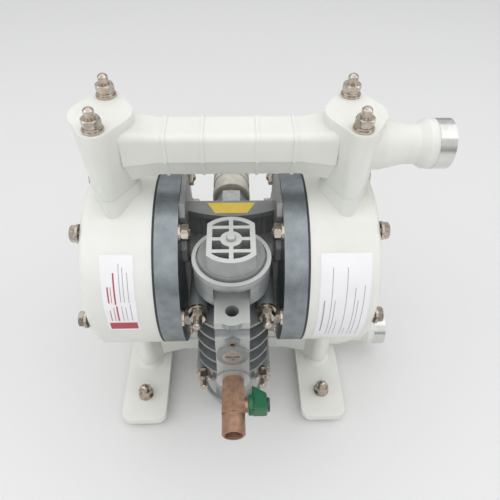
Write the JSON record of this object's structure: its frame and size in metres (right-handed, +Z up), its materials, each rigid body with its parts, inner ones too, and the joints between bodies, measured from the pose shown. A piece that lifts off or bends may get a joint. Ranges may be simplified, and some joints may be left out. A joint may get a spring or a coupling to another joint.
{
  "type": "air operated diaphragm pump",
  "caption": "Air operated double diaphragm pump with plastic chambers and manifolds, a cast air valve, an inlet shut-off with a green lever and an exhaust silencer.",
  "frame": {"origin": "middle of the footprint, on the floor under the four rubber cushions", "axes": "+X along the diaphragm rod towards the pipe ports, +Y away from the air valve, +Z up"},
  "size_m": [0.2379, 0.228, 0.2607],
  "materials": {
    "natural_plastic": "natural polypropylene, moulded, slightly translucent",
    "cast_aluminium": "sand cast, unpainted",
    "die_cast": "die cast, satin grey",
    "ring_aluminium": "sand cast, blue-grey",
    "dark_rubber": "faced rubber sheet, dark grey",
    "bright_steel": "ground",
    "disc_metal": "turned",
    "stainless": "stainless, cold formed",
    "black_rubber": "moulded",
    "white_plastic": "machined PTFE and polypropylene",
    "bronze": "cast and turned bronze",
    "green_plastic": "moulded",
    "dark_plastic": "moulded",
    "zinc_steel": "zinc plated",
    "beige_plastic": "porous moulded plastic"
  },
  "bodies": {
    "frame": {"discharge_manifold": "natural_plastic", "inlet_manifold": "natural_plastic", "fluid_chamber_left": "natural_plastic", "fluid_chamber_right": "natural_plastic", "air_chamber_left": "ring_aluminium", "air_chamber_right": "ring_aluminium", "diaphragm_left": "dark_rubber", "diaphragm_right": "dark_rubber", "rod_bushes": "white_plastic", "rod_seals": "black_rubber", "centre_body": "cast_aluminium", "air_chamber_screws": "stainless", "valve_gasket": "black_rubber", "valve_body": "cast_aluminium", "upper_cap": "die_cast", "lower_cap": "die_cast", "cap_seals": "black_rubber", "valve_sleeve": "bright_steel", "reset_spring": "bright_steel", "small_plug": "bright_steel", "large_plug": "bright_steel", "shutoff_body": "bronze", "shutoff_end": "bronze", "shutoff_seats": "white_plastic", "exhaust_bushing": "zinc_steel", "silencer_body": "beige_plastic", "silencer_core": "beige_plastic", "port_ring_upper": "stainless", "port_ring_lower": "stainless", "valve_seats": "white_plastic", "seat_o_rings": "black_rubber", "ball_cages": "white_plastic", "manifold_studs": "stainless", "manifold_nuts": "stainless", "manifold_washers": "stainless", "chamber_bolts": "stainless", "chamber_nuts": "stainless", "chamber_washers": "stainless", "valve_studs": "stainless", "valve_nuts": "stainless", "valve_washers": "stainless", "foot_cushions": "black_rubber", "foot_studs": "stainless", "foot_nuts": "stainless", "foot_washers": "stainless"},
    "rod": {"centre_rod": "bright_steel", "inner_discs": "disc_metal", "outer_discs": "disc_metal"},
    "pilot": {"pilot_rod": "bright_steel"},
    "spool": {"spool": "bright_steel"},
    "button": {"reset_button": "die_cast"},
    "shutoff": {"shutoff_ball": "bronze", "shutoff_stem": "stainless", "shutoff_lever": "green_plastic", "lever_screw": "dark_plastic"},
    "ball_dl": {"discharge_ball_left": "white_plastic"},
    "ball_dr": {"discharge_ball_right": "white_plastic"},
    "ball_il": {"inlet_ball_left": "white_plastic"},
    "ball_ir": {"inlet_ball_right": "white_plastic"}
  },
  "joints": [
    {"name": "rod_slide", "type": "slide", "parent": "frame", "child": "rod", "axis": [1, 0, 0], "range_m": [-0.007, 0.007], "deforming": ["diaphragm_left", "diaphragm_right"]},
    {"name": "pilot_slide", "type": "slide", "parent": "frame", "child": "pilot", "axis": [1, 0, 0], "range_m": [-0.0015, 0.0015]},
    {"name": "spool_slide", "type": "slide", "parent": "frame", "child": "spool", "axis": [0, 0, 1], "range_m": [0, 0.008]},
    {"name": "reset_press", "type": "slide", "parent": "frame", "child": "button", "axis": [0, 0, -1], "range_m": [0, 0.004], "stiffness_N_per_m": 300, "deforming": ["reset_spring"]},
    {"name": "shutoff_turn", "type": "hinge", "parent": "frame", "child": "shutoff", "pos_m": [0.0144, -0.1045, 0.09], "axis": [1, 0, 0], "range_deg": [0, 90]},
    {"name": "discharge_lift_left", "type": "slide", "parent": "frame", "child": "ball_dl", "axis": [0, 0, 1], "range_m": [0, 0.0045]},
    {"name": "discharge_lift_right", "type": "slide", "parent": "frame", "child": "ball_dr", "axis": [0, 0, 1], "range_m": [0, 0.0045]},
    {"name": "inlet_lift_left", "type": "slide", "parent": "frame", "child": "ball_il", "axis": [0, 0, 1], "range_m": [0, 0.0045]},
    {"name": "inlet_lift_right", "type": "slide", "parent": "frame", "child": "ball_ir", "axis": [0, 0, 1], "range_m": [0, 0.0045]}
  ],
  "couplings": [
    {"joint": "pilot_slide", "follows": "rod_slide", "ratio": 0.21429}
  ]
}
